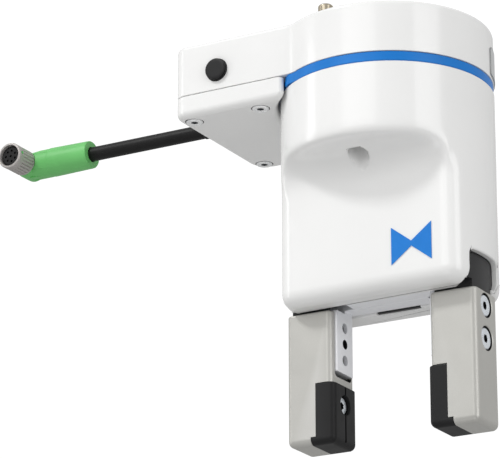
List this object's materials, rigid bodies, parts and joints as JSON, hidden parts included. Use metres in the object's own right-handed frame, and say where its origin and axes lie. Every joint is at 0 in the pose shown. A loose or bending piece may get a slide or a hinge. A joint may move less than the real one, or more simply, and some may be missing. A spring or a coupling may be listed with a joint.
{
  "type": "pneumatic gripper",
  "caption": "Parallel jaw gripper for a small robot arm, with a round white housing, a side arm holding its valve, and a short cable with an angled plug.",
  "frame": {"origin": "centre of the robot flange face, on top of the gripper", "axes": "+Z out of the flange face towards the robot, +X and -X along the jaw stroke with the side arm at -X, -Y the front with the marked flat"},
  "size_m": [0.216, 0.084, 0.1757],
  "materials": {
    "white_shell": "glossy",
    "light_ring": "glossy translucent",
    "blue_mark": "glossy print",
    "blank_plate": "satin",
    "black_plastic": "fine matt",
    "pad_plastic": "fine matt",
    "seal_rubber": "matt",
    "cable_jacket": "matt",
    "aluminium": "milled satin",
    "finger_metal": "fine matt anodised",
    "steel": "bright",
    "nickel": "satin nickel plate",
    "green_plastic": "satin",
    "circuit_board": "solder mask"
  },
  "bodies": {
    "housing": {"robot_flange": "aluminium", "dowel_pin": "steel", "top_cap": "white_shell", "arm_cover": "white_shell", "main_shell": "white_shell", "sensor_strip": "black_plastic", "light_ring": "light_ring", "light_board": "circuit_board", "rating_plate": "blank_plate", "front_mark": "blue_mark", "gripper_body": "aluminium", "cylinder_cover": "aluminium", "cover_seal": "seal_rubber", "rod_seal": "seal_rubber", "valve_block": "aluminium", "valve_coil": "black_plastic", "control_board": "circuit_board", "air_port": "steel", "button_switch": "black_plastic", "cable_grommet": "cable_jacket", "cable": "cable_jacket", "connector_body": "green_plastic", "contact_insert": "black_plastic", "flange_screw_1": "steel", "cover_screw_1": "steel", "flange_screw_2": "steel", "cover_screw_2": "steel", "flange_screw_3": "steel", "cover_screw_3": "steel", "flange_screw_4": "steel", "cover_screw_4": "steel"},
    "drive": {"piston": "aluminium", "piston_seal": "seal_rubber", "wedge_hook": "steel"},
    "jaw_left": {"base_jaw_left": "aluminium", "jaw_cover_left": "black_plastic", "finger_left": "finger_metal", "pad_left": "pad_plastic", "pad_screw_left": "steel", "finger_dowel_left": "steel", "finger_screw_left_upper": "steel", "finger_screw_left_lower": "steel"},
    "jaw_right": {"base_jaw_right": "aluminium", "jaw_cover_right": "black_plastic", "finger_right": "finger_metal", "pad_right": "pad_plastic", "pad_screw_right": "steel", "finger_dowel_right": "steel", "finger_screw_right_upper": "steel", "finger_screw_right_lower": "steel"},
    "button": {"push_button": "black_plastic"},
    "nut": {"coupling_nut": "nickel"},
    "screw_front": {"mounting_screw_front": "steel"},
    "screw_back": {"mounting_screw_back": "steel"}
  },
  "joints": [
    {"name": "drive_slide", "type": "slide", "parent": "housing", "child": "drive", "axis": [0, 0, 1], "range_m": [0, 0.014]},
    {"name": "jaw_left_slide", "type": "slide", "parent": "housing", "child": "jaw_left", "axis": [1, 0, 0], "range_m": [0, 0.01]},
    {"name": "jaw_right_slide", "type": "slide", "parent": "housing", "child": "jaw_right", "axis": [-1, 0, 0], "range_m": [0, 0.01]},
    {"name": "button_press", "type": "slide", "parent": "housing", "child": "button", "axis": [0, 1, 0], "range_m": [0, 0.0012], "stiffness_N_per_m": 1200},
    {"name": "nut_turn", "type": "hinge", "parent": "housing", "child": "nut", "pos_m": [-0.1683, -0.011, -0.0258], "axis": [0, -1, 0], "continuous": true},
    {"name": "screw_front_slide", "type": "slide", "parent": "housing", "child": "screw_front", "axis": [0, 0, 1], "range_m": [0, 0.006]},
    {"name": "screw_back_slide", "type": "slide", "parent": "housing", "child": "screw_back", "axis": [0, 0, 1], "range_m": [0, 0.006]}
  ],
  "couplings": [
    {"joint": "jaw_left_slide", "follows": "drive_slide", "ratio": 0.71429},
    {"joint": "jaw_right_slide", "follows": "drive_slide", "ratio": 0.71429}
  ]
}
